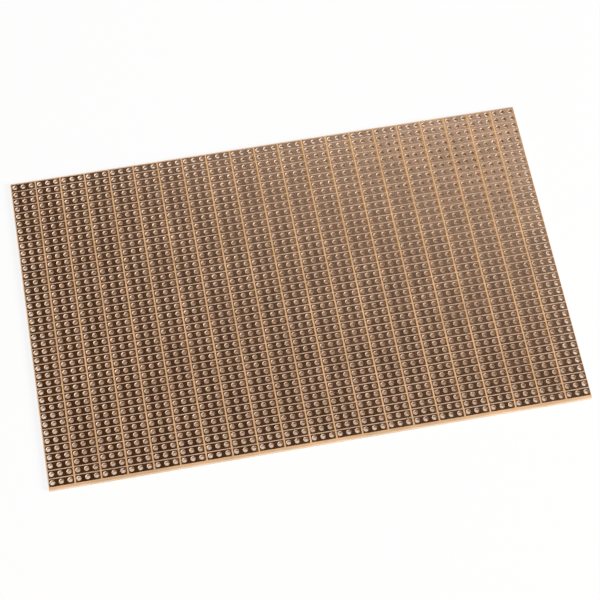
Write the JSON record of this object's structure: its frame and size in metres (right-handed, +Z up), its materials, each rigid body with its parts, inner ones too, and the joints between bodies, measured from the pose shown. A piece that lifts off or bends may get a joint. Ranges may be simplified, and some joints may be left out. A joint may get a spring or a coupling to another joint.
{
  "type": "prototype board",
  "caption": "Flat perforated prototype board: a punched hard-paper sheet with short copper strip pads on one side, for soldering leaded electronic components.",
  "frame": {"origin": "on the surface that the board lies on, under the middle of its outline", "axes": "+X along the 160 mm length and along each pad, +Y along the 100 mm depth and along the pad columns, +Z up out of the copper side"},
  "size_m": [0.16, 0.1, 0.0016],
  "materials": {
    "laminate": "orange-tan hard-paper laminate, matte where the copper is etched away, with pale cut edges",
    "copper": null
  },
  "bodies": {
    "root": {"laminate": "laminate", "pad_column_01": "copper", "pad_column_02": "copper", "pad_column_03": "copper", "pad_column_04": "copper", "pad_column_05": "copper", "pad_column_06": "copper", "pad_column_07": "copper", "pad_column_08": "copper", "pad_column_09": "copper", "pad_column_10": "copper", "pad_column_11": "copper", "pad_column_12": "copper", "pad_column_13": "copper", "pad_column_14": "copper", "pad_column_15": "copper", "pad_column_16": "copper", "pad_column_17": "copper", "pad_column_18": "copper", "pad_column_19": "copper", "pad_column_20": "copper", "pad_column_21": "copper"}
  },
  "joints": []
}
